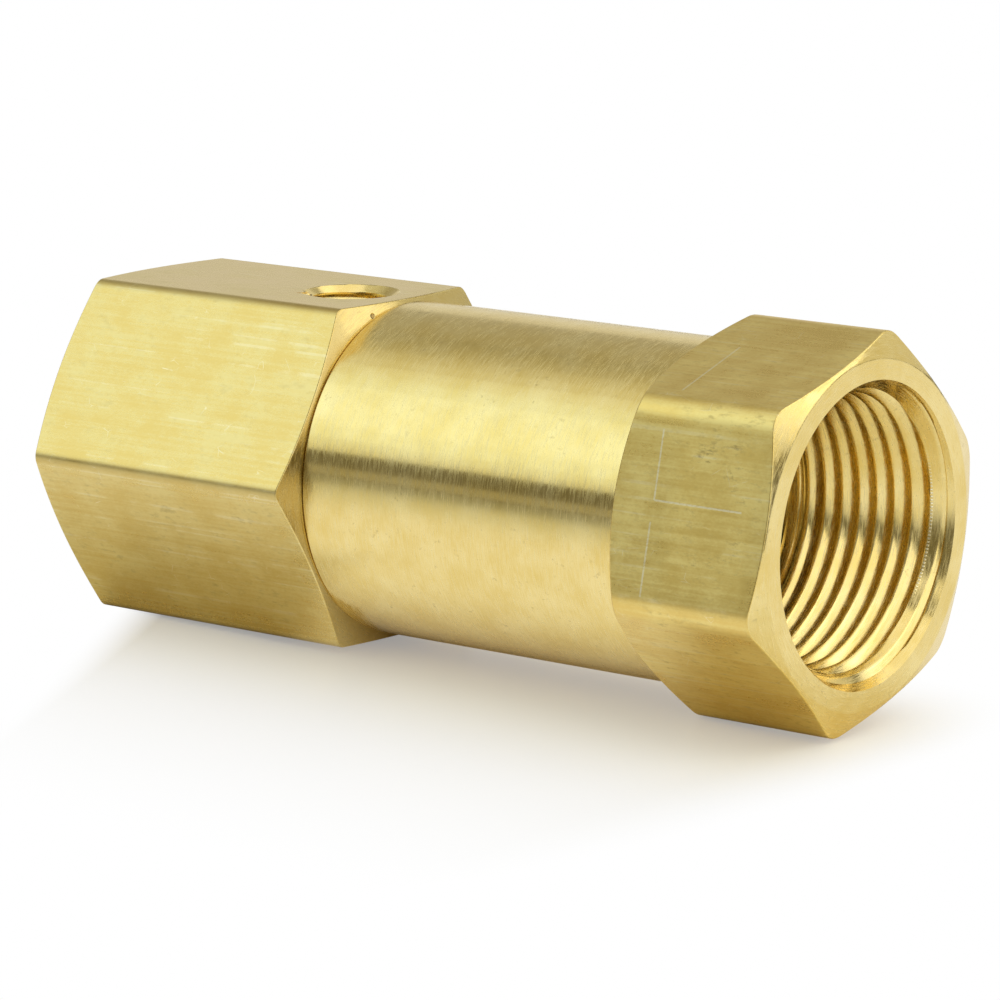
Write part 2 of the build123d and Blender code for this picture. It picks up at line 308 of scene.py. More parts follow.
# %% Inlet sizes
inlet_flat_angle = math.radians(90)
inlet_corner = 1.35
inlet_face_radius = 18.0
seam_face_radius = 18.0
inlet_slope = math.tan(math.radians(20))
seam_slope = math.tan(math.radians(17))
inlet_crest_at = inlet_face + 1.3
inlet_angles = column_angles(inlet_flat_angle, inlet_corner)
pipe_end = inlet_face + pipe_depth
drill_point_radius = 14.18
drill_point_start = pipe_end + 0.15
drill_point_end = pipe_end + 3.85
spigot_radius = 16.5
spigot_chamfer = 0.8
seal_groove_radius = 14.91
seal_groove_start = seam + 1.4
seal_groove_end = seam + 3.8
lip_foot = seat - 0.8
lip_foot_radius = 12.3
lip_bevel = 0.4
lip_round = 0.1
lip_round_radius = 11.96
lip_top_radius = 11.8
print("inlet body with", len(inlet_angles), "columns, spigot", round(seat - seam, 2), "mm long")

# %% [markdown]
# ### The inlet's outline
# The outline is a list of places and radii, with the finish of the face that starts at each
# of them. Three of its values follow the angle: the bar's own radius, and the two places where
# the chamfers' cones reach it. That is all it takes for the curved chamfer edges.

# %% Inlet body
def inlet_column(angle):
    """Outline of the inlet body from the thread's rim, around the outside, back to its end."""
    bar = bar_radius(angle, inlet_flat_angle, inlet_corner)
    rim = pipe_cut(inlet_face, angle, inlet_face, 1, inlet_crest_at)
    front = inlet_face + (bar - inlet_face_radius) * inlet_slope
    back = seam - (bar - seam_face_radius) * seam_slope
    e = edge_break
    return [
        (inlet_face, rim, TURNED),
        (inlet_face, inlet_face_radius - e, TURNED),
        (inlet_face + e * inlet_slope, inlet_face_radius + e, TURNED),
        (front - e * inlet_slope, bar - e, DRAWN),
        (front + e, bar, DRAWN),
        (back - e, bar, DRAWN),
        (back + e * seam_slope, bar - e, TURNED),
        (seam - e * seam_slope, seam_face_radius + e, TURNED),
        (seam, seam_face_radius - e, TURNED),
        (seam, spigot_radius, TURNED),
        (seal_groove_start, spigot_radius, TURNED),
        (seal_groove_start, seal_groove_radius, TURNED),
        (seal_groove_end, seal_groove_radius, TURNED),
        (seal_groove_end, spigot_radius, TURNED),
        (lip_foot - spigot_chamfer, spigot_radius, TURNED),
        (lip_foot, spigot_radius - spigot_chamfer, TURNED),
        (lip_foot, lip_foot_radius, TURNED),
        (seat - lip_bevel, lip_foot_radius, TURNED),
        (seat - lip_round, lip_round_radius, TURNED),
        (seat, lip_top_radius, TURNED),
        (seat, flow_radius + lip_round, TURNED),
        (seat - lip_round, flow_radius, TURNED),
        (drill_point_end, flow_radius, TURNED),
        (drill_point_start, drill_point_radius, TURNED),
        (pipe_end, pipe_cut(pipe_end, angle, inlet_face, 1, inlet_crest_at), TURNED),
    ]


def body_grid(angles, outline_at):
    """Points, faces and finishes of a body's outside and bore, from one outline per angle."""
    outlines = [outline_at(a) for a in angles]
    columns = [[placed(x, r, a) for x, r, _ in outline] for a, outline in zip(angles, outlines)]
    points, faces = joined_columns(columns, wrap=True)
    kinds = [kind for _, _, kind in outlines[0][:-1]] * len(angles)
    return points, faces, kinds


inlet_grids = [
    body_grid(inlet_angles, inlet_column),
    pipe_thread(inlet_angles, inlet_face, 1, inlet_crest_at),
]
inlet_piece = make_piece("inlet_body_brass", inlet_grids, inlet_finishes)

# %% [markdown]
# ## The outlet body
# The same bar size, but most of it is turned down to a round barrel. Only the last twenty
# millimetres stay a hexagon, and its corners are rounder than the inlet's. Inside are the
# socket for the spigot, the chamber with the groove for the retaining ring, and the land.

# %% Outlet sizes
outlet_flat_angle = math.radians(107.2)
outlet_corner = 3.0
outlet_face_radius = 18.6
shoulder_slope = math.tan(math.radians(30))
outlet_slope = math.tan(math.radians(20))
outlet_crest_at = outlet_face - 2.25
outlet_angles = column_angles(outlet_flat_angle, outlet_corner)
thread_end = outlet_face - pipe_depth
seam_chamfer_along = 0.25
seam_chamfer_deep = 0.2
socket_cone = 0.75
ring_groove_start = guide_front - 1.3
ring_groove_end = guide_front + 0.1
ring_groove_radius = chamber_radius + 0.8
print("outlet body with", len(outlet_angles), "columns, hexagon from", shoulder, "mm")

# %% [markdown]
# ### The outlet's outline
# It is read the other way, from the face at the right back to the left, with the cone of the
# shoulder between the hexagon and the barrel.

# %% Outlet body
def outlet_column(angle):
    """Outline of the outlet body from the thread's rim, around the outside, back to its end."""
    bar = bar_radius(angle, outlet_flat_angle, outlet_corner)
    rim = pipe_cut(outlet_face, angle, outlet_face, -1, outlet_crest_at)
    front = outlet_face - (bar - outlet_face_radius) * outlet_slope
    back = shoulder + (bar - barrel_radius) * shoulder_slope
    e = edge_break
    return [
        (outlet_face, rim, TURNED),
        (outlet_face, outlet_face_radius - e, TURNED),
        (outlet_face - e * outlet_slope, outlet_face_radius + e, TURNED),
        (front + e * outlet_slope, bar - e, DRAWN),
        (front - e, bar, DRAWN),
        (back + e, bar, DRAWN),
        (back - e * shoulder_slope, bar - e, TURNED),
        (shoulder, barrel_radius, TURNED),
        (seam + seam_chamfer_along, barrel_radius, TURNED),
        (seam, barrel_radius - seam_chamfer_deep, TURNED),
        (seam, socket_radius, TURNED),
        (socket_end, socket_radius, TURNED),
        (socket_end + socket_cone, chamber_radius, TURNED),
        (ring_groove_start, chamber_radius, TURNED),
        (ring_groove_start, ring_groove_radius, TURNED),
        (ring_groove_end, ring_groove_radius, TURNED),
        (ring_groove_end, chamber_radius, TURNED),
        (guide_back, chamber_radius, TURNED),
        (guide_back, land_radius, TURNED),
        (thread_end, land_radius, TURNED),
        (thread_end, pipe_cut(thread_end, angle, outlet_face, -1, outlet_crest_at), TURNED),
    ]


outlet_grids = [
    body_grid(outlet_angles, outlet_column),
    pipe_thread(outlet_angles, outlet_face, -1, outlet_crest_at),
]
outlet_piece = make_piece("outlet_body_brass", outlet_grids, outlet_finishes)

# %% [markdown]
# ## The side port
# A small tapped hole goes through the inlet body's upper flat. It crosses the columns at a
# right angle, so here a boolean is the right tool: a plug with the thread on its outside is
# made by the same trick and taken away from the body. On the real valve the tap has torn the
# rim in one place, so the plug has a jagged bulge there, made of a few sine waves, and the
# angles around the port stand closer together where it is.

# %% Torn rim
torn_at = math.radians(226)
torn_span = math.radians(17)
torn_depth = 1.1
torn_reach = 0.4
port_angles = np.arange(60) * 2 * math.pi / 60
port_angles = port_angles[np.abs(port_angles - torn_at) > torn_span]
torn_angles = torn_at + np.linspace(-torn_span, torn_span, 23)
port_angles = np.sort(np.concatenate([port_angles, torn_angles]))


def torn_rim(angle, depth):
    """How far the uneven bite out of the countersink reaches."""
    off = (angle - torn_at) / torn_span
    if abs(off) >= 1 or depth > torn_depth:
        return 0
    jag = math.sin(off * 11) + math.sin(off * 19 + depth * 12) + math.sin(depth * 19 + off * 5)
    return (1 - off * off) * (1 - depth / torn_depth) * torn_reach * (jag + 0.3)


deepest = max(torn_rim(angle, 0) for angle in port_angles)
print("port with", len(port_angles), "angles, its rim torn by up to", round(deepest, 2), "mm")

# %% [markdown]
# ### The plug
# Its axis is upright, so a column's points go down along Z here. The column starts and ends on
# the axis, which closes the plug at both ends, and it stands a millimetre proud of the flat so
# that the boolean never has to cut along a shared face.

# %% Port plug
port_x = -20.0
port_depth = 12.0
port_pitch = 0.941
port_crest = 4.32
port_crest_below = 1.01
port_groove = 0.6
port_countersink = 5.45
port_countersink_slope = math.tan(math.radians(54))
never_runs_out = 40
proud = 1


def port_thread(steps=10):
    """Closed plug with the port's thread, upright over the inlet body's upper flat."""
    top, bottom = apothem, apothem - port_depth
    turns = np.append(port_angles, 2 * math.pi)
    first = math.floor((bottom - top) / port_pitch - 2) * steps
    wide = port_countersink + proud
    columns = []
    for angle in turns:
        climb = top - port_crest_below + port_pitch * angle / (2 * math.pi)
        column = [(port_x, 0, top + proud)]
        column.append((port_x + wide * math.cos(angle), wide * math.sin(angle), top + proud))
        for k in range(4 * steps, first, -1):
            z = min(max(climb + k * port_pitch / steps, bottom), top)
            from_crest = (z - top + port_crest_below) / port_pitch - angle / (2 * math.pi)
            r = cut_radius(
                top - z, from_crest, port_pitch, port_crest, port_groove,
                port_countersink, port_countersink_slope, never_runs_out,
            )
            r += torn_rim(angle, top - z)
            column.append((port_x + r * math.cos(angle), r * math.sin(angle), z))
        column.append((port_x, 0, bottom))
        columns.append(column)
    points, faces = joined_columns(columns, wrap=False)
    return points, faces, [TAPPED] * len(faces)


port_plug = make_piece("port_plug", [port_thread()], inlet_finishes)

# %% [markdown]
# ### Taking the plug out
# The manifold solver is quick and exact on closed meshes like these two. The result is read
# back as a plain mesh, so that the plug can go.

# %% Cut the port
cut = inlet_piece.modifiers.new("port", "BOOLEAN")
cut.operation = "DIFFERENCE"
cut.solver = "MANIFOLD"
cut.object = port_plug
bpy.context.view_layer.update()
worked_out = inlet_piece.evaluated_get(bpy.context.evaluated_depsgraph_get())
with_port = bpy.data.meshes.new_from_object(worked_out)
inlet_piece.modifiers.clear()
inlet_piece.data = with_port
bpy.data.objects.remove(port_plug)
print("inlet body with its port:", len(with_port.polygons), "faces")

# %% [markdown]
# ## The return spring
# The solid spring is drawn with a six sided wire. A real one is round wire, with the last turn at each
# end closed up and ground flat. The coil is a mesh of rings along a helix whose pitch eases in and
# out.

# %% Return spring
spring_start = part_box("return_spring")[0].x / MM
spring_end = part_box("return_spring")[1].x / MM
wire_radius = 0.6
coil_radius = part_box("return_spring")[1].z / MM - wire_radius
coil_turns = 6.0
closed_turns = 0.9
ground_share = 0.3


def coil_climb(turn):
    """Place along the axis of the wire's middle: closed turns at both ends, open ones between."""
    closed_rise = closed_turns * 2 * wire_radius
    open_turns = coil_turns - 2 * closed_turns
    start = spring_start + wire_radius * ground_share
    end = spring_end - wire_radius * ground_share
    open_rise = (end - start - 2 * closed_rise) / open_turns
    if turn < closed_turns:
        return start + turn * 2 * wire_radius
    if turn > coil_turns - closed_turns:
        return end - (coil_turns - turn) * 2 * wire_radius
    return start + closed_rise + (turn - closed_turns) * open_rise


def coil_points(steps=64, sides=12):
    """Rings of wire along the coil, pulled flat at both ends as a ground spring is."""
    columns = []
    for k in range(int(coil_turns * steps) + 1):
        turn = k / steps
        angle = turn * 2 * math.pi
        middle = coil_climb(turn)
        ring = []
        for s in range(sides + 1):
            around = s * 2 * math.pi / sides
            x = middle + wire_radius * math.sin(around)
            x = min(max(x, spring_start), spring_end)
            ring.append(placed(x, coil_radius + wire_radius * math.cos(around), angle))
        columns.append(ring)
    points, faces = joined_columns(columns, wrap=False)
    rows = sides + 1
    faces.append(tuple(range(sides)))
    faces.append(tuple(len(points) - rows + s for s in range(sides)))
    return points, faces, [0] * len(faces)


spring_finish = bpy.data.materials.new("spring_wire")
spring_piece = make_piece("return_spring_wire", [coil_points()], [spring_finish])

# %% [markdown]
# ## Edges and shading
# Turned edges are crisp but never razor sharp. Faces that meet at less than forty degrees
# shade smoothly into each other, so the small edge breaks read as rounded, and a weighted
# normal modifier keeps the large flats flat beside them.

# %% Shading
sharp_above = math.radians(40)
for piece in (inlet_piece, outlet_piece, spring_piece):
    piece.data.set_sharp_from_angle(angle=sharp_above)
    weigh = piece.modifiers.new("weighted_normal", "WEIGHTED_NORMAL")
    weigh.keep_sharp = True
    weigh.weight = 80
    print(piece.name, "has", len(piece.data.edges), "edges")

# %% [markdown]
# ## Helpers for the finishes
# Every finish below is a recipe of nodes. A small helper makes a node, sets its inputs and
# links what is passed to it, which keeps the recipes short enough to read. The others stand
# for the steps that come back in each recipe: a sum, a soft step, a noise, a mix of colours.

# %% Node helper
def node(material, kind, settings=None, **inputs):
    """Adds a node. An input's name has _ for a space, or is i and its number.
    Its value is a number, a colour or a socket."""
    made = material.node_tree.nodes.new(kind)
    for name, value in (settings or {}).items():
        setattr(made, name, value)
    for name, value in inputs.items():
        key = int(name[1:]) if name[0] == "i" and name[1:].isdigit() else name.replace("_", " ")
        if isinstance(value, bpy.types.NodeSocket):
            material.node_tree.links.new(value, made.inputs[key])
        else:
            made.inputs[key].default_value = value
    return made


def feed(material, shader, **sockets):
    """Links sockets to the inputs of a node that is there already. A name has _ for a space."""
    for name, socket in sockets.items():
        material.node_tree.links.new(socket, shader.inputs[name.replace("_", " ")])


def fresh(material):
    """Empties a material and returns its coordinates and its shader."""
    material.use_nodes = True
    material.node_tree.nodes.clear()
    output = node(material, "ShaderNodeOutputMaterial")
    shader = node(material, "ShaderNodeBsdfPrincipled")
    material.node_tree.links.new(shader.outputs[0], output.inputs[0])
    place = node(material, "ShaderNodeTexCoord").outputs["Object"]
    return place, shader


# %% [markdown]
# ### Steps of a recipe
# These are the sums and patterns. A smooth step with both ends held turns a raw noise into
# patches, and a noise whose coordinates are stretched turns into streaks.

# %% Steps of a recipe
def math_node(material, operation, first, second=0.0, third=0.0):
    """One step of arithmetic on a material's values."""
    settings = {"operation": operation}
    return node(material, "ShaderNodeMath", settings, i0=first, i1=second, i2=third).outputs[0]


def ramp(material, value, low, high, start=0.0, end=1.0):
    """Maps a value from low..high onto start..end, smoothly and with both ends held."""
    found = node(
        material, "ShaderNodeMapRange", {"interpolation_type": "SMOOTHSTEP"},
        Value=value, From_Min=low, From_Max=high, To_Min=start, To_Max=end,
    )
    return found.outputs[0]


def noise(material, vector, scale, detail=3.0, roughness=0.5, w=None):
    """Value of a noise texture, in three dimensions or four."""
    settings = {"noise_dimensions": "3D" if w is None else "4D"}
    extra = {} if w is None else {"W": w}
    return node(
        material, "ShaderNodeTexNoise", settings, Vector=vector, Scale=scale, Detail=detail,
        Roughness=roughness, **extra,
    ).outputs[0]


def stretched(material, place, x, y, z):
    """Coordinates scaled by different amounts along the three axes."""
    settings = {"operation": "MULTIPLY"}
    return node(material, "ShaderNodeVectorMath", settings, i0=place, i1=(x, y, z)).outputs[0]


def blend_colours(material, factor, first, second):
    """Mix of two colours."""
    mixed = node(material, "ShaderNodeMix", {"data_type": "RGBA"}, i0=factor)
    for socket, value in ((mixed.inputs[6], first), (mixed.inputs[7], second)):
        if isinstance(value, bpy.types.NodeSocket):
            material.node_tree.links.new(value, socket)
        else:
            socket.default_value = value
    return mixed.outputs[2]


# %% [markdown]
# ### Relief and brushed metal
# Marks finer than a tenth of a millimetre are too small for the mesh, so they are a bump, with
# its depth in real millimetres. Brushed metal stretches its highlights across the brushing,
# and the tangent tells the shader which way that runs.

# %% Relief and brushing
def raised(material, heights, depth, strength=1.0, **more):
    """Normal of a surface with small heights on it. depth is in millimetres."""
    bump = node(
        material, "ShaderNodeBump", None, Strength=strength, Distance=depth * MM, Height=heights,
        **more,
    )
    return bump.outputs[0]


def around_axis(material):
    """Direction around X at each spot, as a tangent for brushed metal."""
    settings = {"direction_type": "RADIAL", "axis": "X"}
    return node(material, "ShaderNodeTangent", settings).outputs[0]


# %% [markdown]
# ### Turned brass
# Polished brass reflects what is around it and adds its own yellow, so nearly all of its look
# is in the roughness and the fine marks of how it was cut. A lathe tool leaves rings around
# the axis. On the barrel they follow one another along X, on the faces they follow one another
# outward, and on the chamfers both. A noise with four inputs does all three at once: X and the
# radius run fast, the angle runs slow. The rings also stretch each highlight across
# themselves, which is what the anisotropy of the shader is for.

# %% Turned brass
brass_pale = (0.88, 0.72, 0.32, 1)
brass_deep = (0.77, 0.58, 0.185, 1)
patina_and_shade_brown = (0.34, 0.25, 0.09, 1)
brass_bright = (0.97, 0.90, 0.64, 1)


def turned_brass(material, roughness=0.2, ring_depth=0.003, anisotropy=0.7):
    """Brass with the fine rings of a lathe tool. ring_depth is in millimetres."""
    place, shader = fresh(material)
    x, y, z = node(material, "ShaderNodeSeparateXYZ", None, Vector=place).outputs
    y_squared = math_node(material, "MULTIPLY", y, y)
    radius = math_node(material, "SQRT", math_node(material, "MULTIPLY_ADD", z, z, y_squared))
    fine_radius = math_node(material, "MULTIPLY", radius, 9000)
    fine_place = stretched(material, place, 9000, 800, 800)
    rings = noise(material, fine_place, 1.0, 1.0, 0.5, fine_radius)
    band_radius = math_node(material, "MULTIPLY", radius, 2400)
    band_place = stretched(material, place, 2400, 300, 300)
    bands = noise(material, band_place, 1.0, 2.0, 0.5, band_radius)
    cloud = noise(material, place, 210, 3.0, 0.6)
    specks = noise(material, place, 1500, 2.0, 0.6)
    lines = math_node(material, "MULTIPLY", rings, 0.75)
    lines = math_node(material, "MULTIPLY_ADD", bands, 0.25, lines)
    tone = math_node(material, "MULTIPLY", lines, 0.5)
    tone = math_node(material, "MULTIPLY_ADD", cloud, 0.5, tone)
    colour = blend_colours(material, ramp(material, tone, 0.32, 0.68), brass_deep, brass_pale)
    clouded = ramp(material, cloud, 0.4, 0.7, 0.05, 0.5)
    stain = math_node(material, "MULTIPLY", ramp(material, specks, 0.6, 0.78), clouded)
    colour = blend_colours(material, stain, colour, patina_and_shade_brown)
    rough = ramp(material, lines, 0.35, 0.65, roughness - 0.085, roughness + 0.085)
    facing = node(material, "ShaderNodeTexCoord").outputs["Normal"]
    facing_x = node(material, "ShaderNodeSeparateXYZ", None, Vector=facing).outputs[0]
    end_on = math_node(material, "ABSOLUTE", facing_x)
    shallow = ramp(material, end_on, 0.4, 0.85, 1.0, 0.25)
    normal = raised(material, lines, ring_depth, shallow)
    feed(
        material, shader, Base_Color=colour, Roughness=rough, Normal=normal,
        Tangent=around_axis(material),
    )
    shader.inputs["Metallic"].default_value = 1.0
    shader.inputs["Anisotropic"].default_value = anisotropy
    shader.inputs["Anisotropic Rotation"].default_value = 0.25
    return shader


turned_brass(outlet_finishes[TURNED])
inlet_turned_shader = turned_brass(inlet_finishes[TURNED])
print("turned brass has", len(outlet_finishes[TURNED].node_tree.nodes), "nodes")

# %% [markdown]
# ### A pit and painted shade at the seam
# The cone of the inlet body beside the seam has one small pit, and toward the seam its colour is a
# little browner than the barrel's: painted shade where the two bodies meet. A mark like that needs no
# mesh. The distance from a spot makes a round mask, and the mask darkens the colour and sinks the
# bump.

# %% Pit and painted shade on the seam's cone
pit_spot = (-11.96 * MM, -6.14 * MM, 17.82 * MM)
pit_brown = (0.24, 0.15, 0.05, 1)
pit_depth = 0.06


def tint_over(material, shader, mask, colour):
    """Lays a colour over what the shader has so far, where the mask says."""
    so_far = shader.inputs["Base Color"].links[0].from_socket
    feed(material, shader, Base_Color=blend_colours(material, mask, so_far, colour))


def raise_over(material, shader, mask, height):
    """Raises what the shader has so far by a height in millimetres, where the mask says."""
    so_far = shader.inputs["Normal"].links[0].from_socket
    feed(material, shader, Normal=raised(material, mask, height, Normal=so_far))


seam_finish = inlet_finishes[TURNED]
place = node(seam_finish, "ShaderNodeTexCoord").outputs["Object"]
from_pit = node(
    seam_finish, "ShaderNodeVectorMath", {"operation": "DISTANCE"}, i0=place, i1=pit_spot
).outputs[1]
pit = ramp(seam_finish, from_pit, 0.36 * MM, 0.2 * MM)
tint_over(seam_finish, inlet_turned_shader, pit, pit_brown)
raise_over(seam_finish, inlet_turned_shader, pit, -pit_depth)
along = node(seam_finish, "ShaderNodeSeparateXYZ", None, Vector=place).outputs[0]
# Painted shade: the colour darkens toward the seam, where the two bodies meet.
seam_shade = ramp(seam_finish, along, -13.6 * MM, -12.6 * MM, 0.0, 0.45)
tint_over(seam_finish, inlet_turned_shader, seam_shade, patina_and_shade_brown)
print("pit at", [round(value / MM, 2) for value in pit_spot], "mm")

# %% [markdown]
# ### Masks on the bar
# The flats carry marks in known places: scored lines, a browner patch, and painted shade along the
# corners. A mask is a value that is 1 in such a place and 0 elsewhere. A patch on one flat is a
# product of soft steps, and the corners are found from the angle around the axis.

# %% Masks
def on_flat(material, place, flat_angle, x_span, across_span, soft=0.06):
    """Mask of a patch on one flat, from its spans along X and across the flat, in millimetres."""
    across_way = (0, -math.sin(flat_angle), math.cos(flat_angle))
    out_way = (0, math.cos(flat_angle), math.sin(flat_angle))
    dot = {"operation": "DOT_PRODUCT"}
    along = node(material, "ShaderNodeSeparateXYZ", None, Vector=place).outputs[0]
    across = node(material, "ShaderNodeVectorMath", dot, i0=place, i1=across_way).outputs[1]
    out = node(material, "ShaderNodeVectorMath", dot, i0=place, i1=out_way).outputs[1]
    mask = ramp(material, out, (apothem - 0.4) * MM, (apothem - 0.2) * MM)
    for value, span in ((along, x_span), (across, across_span)):
        for edge, side in zip(span, (1, -1)):
            step = ramp(material, value, (edge - soft * side) * MM, (edge + soft * side) * MM)
            mask = math_node(material, "MULTIPLY", mask, step)
    return mask


def near_corner(material, place, flat_angle, corner_radius):
    """Mask of the rounded corners of the bar."""
    x, y, z = node(material, "ShaderNodeSeparateXYZ", None, Vector=place).outputs
    angle = math_node(material, "ARCTAN2", z, y)
    from_flat = math_node(material, "SUBTRACT", angle, flat_angle)
    off_flat = math_node(material, "PINGPONG", from_flat, math.pi / 6)
    half_flat = (apothem - corner_radius) * math.tan(math.pi / 6)
    edge = math.atan(half_flat / apothem)
    return ramp(material, off_flat, edge - 0.012, edge + 0.02)


# %% [markdown]
# ### Drawn flats
# The flats were never touched by a tool. The bar was pulled through a die, which leaves long faint
# streaks along X, and the bar has lain about, so there are small scratches and a thin brown patina,
# with more of it on one patch. Along the rounded corners the colour is darkened as painted shade.
# Noise that is squeezed across the bar and stretched along it gives the streaks, and thin lines
# between the cells of a stretched Voronoi pattern give the scratches.

# %% Drawn brass
def drawn_brass(
    material, tints, flat_angle, corner_radius, marks, browner_flat, patina, corner_painted_shade, roughness
):
    """Brass as it leaves the drawing die: streaks along the bar, scratches, patina, and painted shade
    along the rounded corners. marks are scored lines and browner_flat is a patch with more patina,
    each a flat, a span along X and one across."""
    place, shader = fresh(material)
    streaks = noise(material, stretched(material, place, 40, 2600, 2600), 1.0, 3.0, 0.6)
    cloud = noise(material, stretched(material, place, 170, 230, 230), 1.0, 4.0, 0.6)
    grain = noise(material, stretched(material, place, 2500, 4500, 4500), 1.0, 2.0, 0.6)
    specks = noise(material, stretched(material, place, 700, 1500, 1500), 1.0, 3.0, 0.65)
    tone = math_node(material, "MULTIPLY", cloud, 0.5)
    tone = math_node(material, "MULTIPLY_ADD", streaks, 0.3, tone)
    tone = math_node(material, "MULTIPLY_ADD", grain, 0.2, tone)
    base = blend_colours(material, ramp(material, tone, 0.38, 0.62), *tints)

    browner_patch = on_flat(material, place, *browner_flat, soft=1.2)
    amount = math_node(material, "MULTIPLY_ADD", browner_patch, patina * 1.3, patina)
    clouded = ramp(material, cloud, 0.4, 0.65, 0.15, 1.0)
    dirt_and_corner_shade = math_node(material, "MULTIPLY", ramp(material, specks, 0.5, 0.75), clouded)
    dirt_and_corner_shade = math_node(material, "MULTIPLY", dirt_and_corner_shade, amount)
    # Painted shade: the rounded corners are darkened, standing in for the dark part of the room that
    # they reflect.
    corner = near_corner(material, place, flat_angle, corner_radius)
    dirt_and_corner_shade = math_node(material, "MULTIPLY_ADD", corner, corner_painted_shade, dirt_and_corner_shade)
    colour = blend_colours(material, dirt_and_corner_shade, base, patina_and_shade_brown)

    die_streaks = noise(material, stretched(material, place, 22, 2300, 2300), 1.0, 0.0, 0.5)
    die_lines = ramp(material, die_streaks, 0.64, 0.74)
    die_lines = math_node(material, "MULTIPLY", die_lines, ramp(material, cloud, 0.42, 0.6))
    cells = node(
        material, "ShaderNodeTexVoronoi", {"feature": "DISTANCE_TO_EDGE"},
        Vector=stretched(material, place, 300, 800, 640), Scale=1.0,
    ).outputs[0]
    patches = ramp(material, noise(material, place, 420, 2.0, 0.5), 0.59, 0.66)
    scratch = math_node(material, "MULTIPLY", ramp(material, cells, 0.011, 0.0), patches)
    scratch = math_node(material, "MULTIPLY_ADD", die_lines, 0.35, scratch)
    for mark in marks:
        uneven = ramp(material, grain, 0.3, 0.5, 0.5, 1.3)
        scored = math_node(material, "MULTIPLY", on_flat(material, place, *mark), uneven)
        scratch = math_node(material, "MAXIMUM", scratch, scored)
    shine = math_node(material, "MULTIPLY", scratch, 0.55)
    colour = blend_colours(material, shine, colour, brass_bright)

    rough = ramp(material, tone, 0.35, 0.65, roughness - 0.04, roughness + 0.06)
    rough = math_node(material, "MULTIPLY_ADD", dirt_and_corner_shade, 0.25, rough)
    rough = math_node(material, "MULTIPLY_ADD", browner_patch, 0.05, rough)
    relief = math_node(material, "MULTIPLY_ADD", grain, 0.2, streaks)
    relief = math_node(material, "MULTIPLY_ADD", scratch, -1.5, relief)
    feed(
        material, shader, Base_Color=colour, Roughness=rough,
        Normal=raised(material, relief, 0.0012), Tangent=around_axis(material),
    )
    shader.inputs["Metallic"].default_value = 1.0
    shader.inputs["Anisotropic"].default_value = 0.3


# %% [markdown]
# ### Marks on the two hexagons
# Something, most likely the jaws of a vice, has scored fine straight lines across two flats of the
# outlet hexagon. Its front flat has more patina and is browner. The inlet hexagon is cleaner, with
# more patina on its lower front flat and a stronger painted shade along its corners.

# %% Flats of both bodies
inlet_tints = (0.69, 0.505, 0.155, 1), (0.77, 0.62, 0.245, 1)
outlet_tints = (0.81, 0.59, 0.17, 1), (0.91, 0.73, 0.265, 1)
inlet_browner_flat = inlet_flat_angle + 2 * math.pi / 3
outlet_top_flat = outlet_flat_angle
outlet_front_flat = outlet_flat_angle + math.pi / 3
outlet_marks = [
    (outlet_top_flat, (35.5, 35.7), (-2.35, 8.4)),
    (outlet_front_flat, (35.5, 35.7), (-8.1, -0.7)),
    (outlet_front_flat, (35.6, 46.6), (-0.8, -0.6)),
    (outlet_front_flat, (35.4, 35.6), (1.55, 9.37)),
]
drawn_brass(
    inlet_finishes[DRAWN], inlet_tints, inlet_flat_angle, inlet_corner, marks=[],
    browner_flat=(inlet_browner_flat, (-49, -14), (-9, 9)), patina=0.16, corner_painted_shade=0.3, roughness=0.26,
)
drawn_brass(
    outlet_finishes[DRAWN], outlet_tints, outlet_flat_angle, outlet_corner, outlet_marks,
    browner_flat=(outlet_front_flat, (38, 48), (-8, 8)), patina=0.4, corner_painted_shade=0.12, roughness=0.3,
)
print(len(outlet_marks), "scored lines on the outlet hexagon")

# %% [markdown]
# ### Tapped threads
# A tap cuts cleaner than a lathe tool, but the flanks keep fine torn lines that follow the
# thread, and light gets trapped between them, which makes the brass look deeper in colour.
# In the outlet's mouth the tool has chattered where it started, and has left a row of small
# bright ticks along the first crest. They are a sine of the angle, shown only on that crest.

# %% Tapped brass
first_crest = outlet_crest_at / pipe_pitch
ticks_in_a_radian = 250
turned_brass(inlet_finishes[TAPPED], roughness=0.21, ring_depth=0.0012, anisotropy=0.2)
mouth_finish = outlet_finishes[TAPPED]
mouth_shader = turned_brass(mouth_finish, roughness=0.21, ring_depth=0.0012, anisotropy=0.2)
place = node(mouth_finish, "ShaderNodeTexCoord").outputs["Object"]
x, y, z = node(mouth_finish, "ShaderNodeSeparateXYZ", None, Vector=place).outputs
angle = math_node(mouth_finish, "ARCTAN2", z, y)
turns = math_node(mouth_finish, "MULTIPLY_ADD", x, 1 / (pipe_pitch * MM), -first_crest)
turns = math_node(mouth_finish, "MULTIPLY_ADD", angle, -1 / (2 * math.pi), turns)
on_crest = ramp(mouth_finish, math_node(mouth_finish, "ABSOLUTE", turns), 0.075, 0.035)
span_start = ramp(mouth_finish, angle, -0.65, -0.45)
span = math_node(mouth_finish, "MULTIPLY", span_start, ramp(mouth_finish, angle, 0.6, 0.1))
teeth = math_node(mouth_finish, "MULTIPLY", angle, ticks_in_a_radian)
teeth = ramp(mouth_finish, math_node(mouth_finish, "SINE", teeth), -0.2, 0.6)
torn = math_node(mouth_finish, "MULTIPLY", on_crest, span)
torn = math_node(mouth_finish, "MULTIPLY", torn, teeth)
tint_over(mouth_finish, mouth_shader, torn, brass_bright)
raise_over(mouth_finish, mouth_shader, torn, 0.035)
print("ticks along the first crest, each", round(2 * math.pi / ticks_in_a_radian, 3), "radians")

# %% [markdown]
# ## The inside pieces
# The poppet, its washer and the guide are turned brass, the spring and the rings are steel,
# the seals are black rubber and the bush is a pale plastic. Steel gets a fine grain and a
# faint stain, and what was moulded gets a slightly uneven skin.

